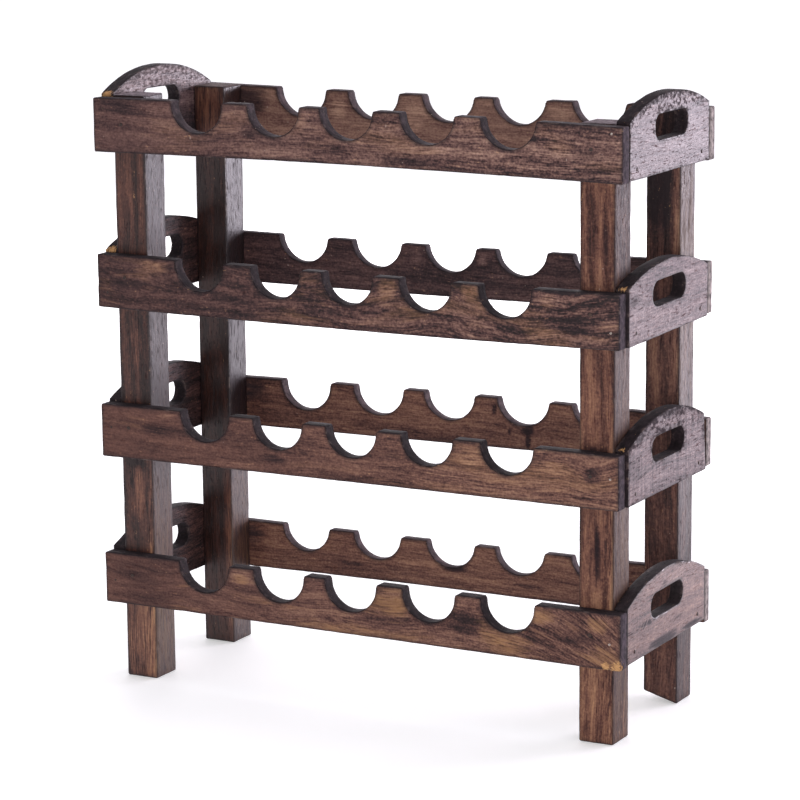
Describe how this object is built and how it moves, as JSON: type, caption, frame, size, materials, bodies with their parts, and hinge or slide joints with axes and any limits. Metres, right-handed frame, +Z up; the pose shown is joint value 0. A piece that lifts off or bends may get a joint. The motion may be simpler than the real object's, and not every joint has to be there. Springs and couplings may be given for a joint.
{
  "type": "wooden wine rack",
  "caption": "Rustic free-standing wooden wine rack: notched rail trays with arched end panels and hand holes, nailed to corner posts.",
  "frame": {"origin": "on the floor, under the middle of the rack", "axes": "+Z up, +X to the rack's right seen from its front, front towards -Y"},
  "size_m": [0.6818, 0.258, 0.7297],
  "materials": {
    "rail_wood": "dark walnut stain, sanded, satin, worn edges",
    "panel_wood": "dark walnut stain, weathered grey on the outer faces, satin",
    "post_wood": "dark walnut stain, sanded, satin",
    "nail_steel": "dull, darkened by the stain"
  },
  "bodies": {
    "root": {"front_left_post": "post_wood", "front_right_post": "post_wood", "back_left_post": "post_wood", "back_right_post": "post_wood", "tier_1_front_rail": "rail_wood", "tier_1_back_rail": "rail_wood", "tier_1_left_end_panel": "panel_wood", "tier_1_right_end_panel": "panel_wood", "tier_2_front_rail": "rail_wood", "tier_2_back_rail": "rail_wood", "tier_2_left_end_panel": "panel_wood", "tier_2_right_end_panel": "panel_wood", "tier_3_front_rail": "rail_wood", "tier_3_back_rail": "rail_wood", "tier_3_left_end_panel": "panel_wood", "tier_3_right_end_panel": "panel_wood", "tier_4_front_rail": "rail_wood", "tier_4_back_rail": "rail_wood", "tier_4_left_end_panel": "panel_wood", "tier_4_right_end_panel": "panel_wood", "tier_1_front_left_rail_nail": "nail_steel", "tier_1_front_left_panel_nail": "nail_steel", "tier_1_front_right_rail_nail": "nail_steel", "tier_1_front_right_panel_nail": "nail_steel", "tier_1_back_left_rail_nail": "nail_steel", "tier_1_back_left_panel_nail": "nail_steel", "tier_1_back_right_rail_nail": "nail_steel", "tier_1_back_right_panel_nail": "nail_steel", "tier_2_front_left_rail_nail": "nail_steel", "tier_2_front_left_panel_nail": "nail_steel", "tier_2_front_right_rail_nail": "nail_steel", "tier_2_front_right_panel_nail": "nail_steel", "tier_2_back_left_rail_nail": "nail_steel", "tier_2_back_left_panel_nail": "nail_steel", "tier_2_back_right_rail_nail": "nail_steel", "tier_2_back_right_panel_nail": "nail_steel", "tier_3_front_left_rail_nail": "nail_steel", "tier_3_front_left_panel_nail": "nail_steel", "tier_3_front_right_rail_nail": "nail_steel", "tier_3_front_right_panel_nail": "nail_steel", "tier_3_back_left_rail_nail": "nail_steel", "tier_3_back_left_panel_nail": "nail_steel", "tier_3_back_right_rail_nail": "nail_steel", "tier_3_back_right_panel_nail": "nail_steel", "tier_4_front_left_rail_nail": "nail_steel", "tier_4_front_left_panel_nail": "nail_steel", "tier_4_front_right_rail_nail": "nail_steel", "tier_4_front_right_panel_nail": "nail_steel", "tier_4_back_left_rail_nail": "nail_steel", "tier_4_back_left_panel_nail": "nail_steel", "tier_4_back_right_rail_nail": "nail_steel", "tier_4_back_right_panel_nail": "nail_steel"}
  },
  "joints": []
}
